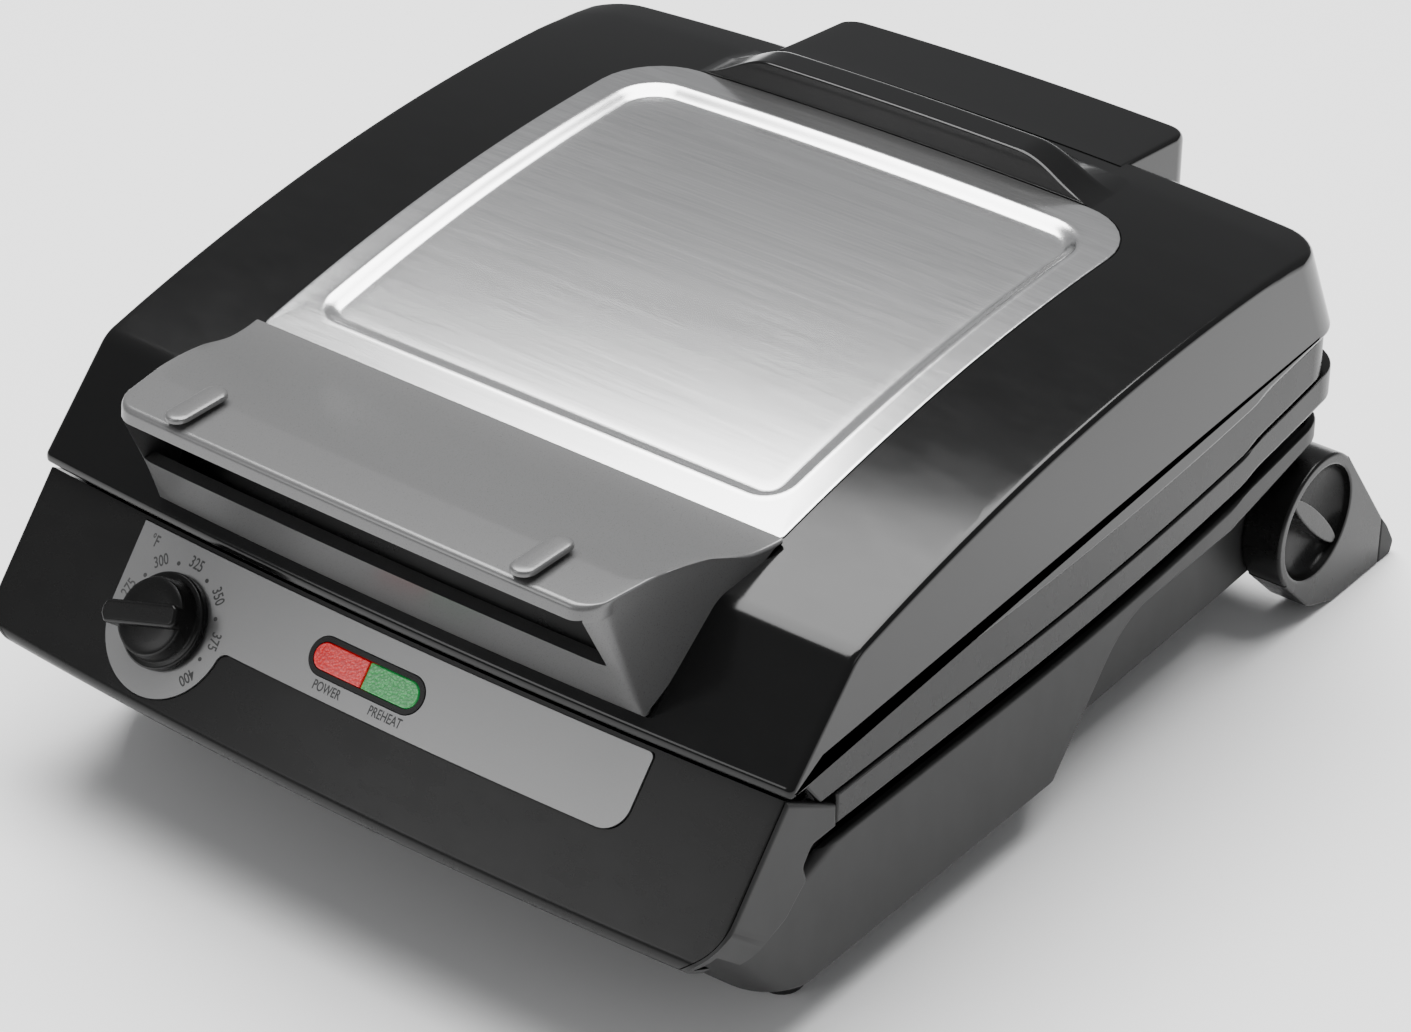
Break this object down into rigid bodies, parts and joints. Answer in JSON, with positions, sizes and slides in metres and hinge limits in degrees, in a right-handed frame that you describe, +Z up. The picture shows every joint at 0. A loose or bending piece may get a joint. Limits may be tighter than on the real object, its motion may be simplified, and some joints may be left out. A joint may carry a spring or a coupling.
{
  "type": "contact grill and griddle",
  "caption": "Hinged contact grill and griddle: domed lid with steel panel and lift handle, facing plates, front temperature dial, two lights, fold-down rear stand.",
  "frame": {"origin": "on the table, under the middle of the whole object", "axes": "+X to the user's right facing the dial, +Y from the front to the hinge, +Z up"},
  "size_m": [0.319, 0.4224, 0.1837],
  "materials": {
    "gloss_black": "gloss",
    "base_grey": "fine matte texture",
    "satin_black": "satin",
    "silver_inlay": "satin silver paint on plastic",
    "silver_plastic": "satin silver",
    "brushed_steel": "brushed across the width",
    "bright_metal": "plain plated",
    "reflector_sheet": "plain rolled sheet",
    "coated_plate": "dark non-stick coating",
    "red_lens": "clear red",
    "green_lens": "clear green",
    "rubber": "matte",
    "ceramic": "heat-resistant moulding"
  },
  "bodies": {
    "base": {"base_shell": "base_grey", "bottom_cover": "base_grey", "lower_housing": "satin_black", "lower_reflector": "reflector_sheet", "lower_heating_element": "bright_metal", "lower_cooking_plate": "coated_plate", "front_fascia": "satin_black", "fascia_frame": "base_grey", "control_panel": "silver_inlay", "indicator_bezel": "satin_black", "power_lens": "red_lens", "preheat_lens": "green_lens", "power_lamp": "ceramic", "preheat_lamp": "ceramic", "thermostat_body": "ceramic", "cord_gland": "rubber", "terminal_block": "ceramic", "hinge_bracket_right": "base_grey", "hinge_bracket_left": "base_grey", "hinge_pin_right": "bright_metal", "hinge_pin_left": "bright_metal", "front_foot_right": "rubber", "front_foot_left": "rubber", "cover_screw_front_right": "bright_metal", "cover_screw_back_right": "bright_metal", "cover_screw_front_left": "bright_metal", "cover_screw_back_left": "bright_metal", "stand_pivot_right": "bright_metal", "stand_pivot_left": "bright_metal"},
    "lid": {"lid_shell": "gloss_black", "steel_top_panel": "brushed_steel", "lid_handle": "silver_plastic", "handle_liner": "satin_black", "handle_rest_pad_right": "silver_plastic", "handle_rest_pad_left": "silver_plastic", "upper_housing": "satin_black", "upper_reflector": "reflector_sheet", "upper_heating_element": "bright_metal", "upper_cooking_plate": "coated_plate", "hinge_housing_cover": "satin_black"},
    "dial": {"thermostat_shaft": "bright_metal", "temperature_knob": "satin_black"},
    "stand": {"stand_leg_right": "satin_black", "stand_leg_left": "satin_black", "stand_tip_right": "rubber", "stand_tip_left": "rubber", "stand_crossbar": "satin_black"}
  },
  "joints": [
    {"name": "lid_hinge", "type": "hinge", "parent": "base", "child": "lid", "pos_m": [0, 0.1666, 0.096], "axis": [-1, 0, 0], "range_deg": [0, 180]},
    {"name": "stand_pivot", "type": "hinge", "parent": "base", "child": "stand", "pos_m": [0, 0.1522, 0.042], "axis": [-1, 0, 0], "range_deg": [0, 90]},
    {"name": "temperature_dial", "type": "hinge", "parent": "base", "child": "dial", "pos_m": [-0.0823, -0.19145, 0.0818], "axis": [0.0267, 0.7542, -0.6561], "range_deg": [0, 235]}
  ]
}
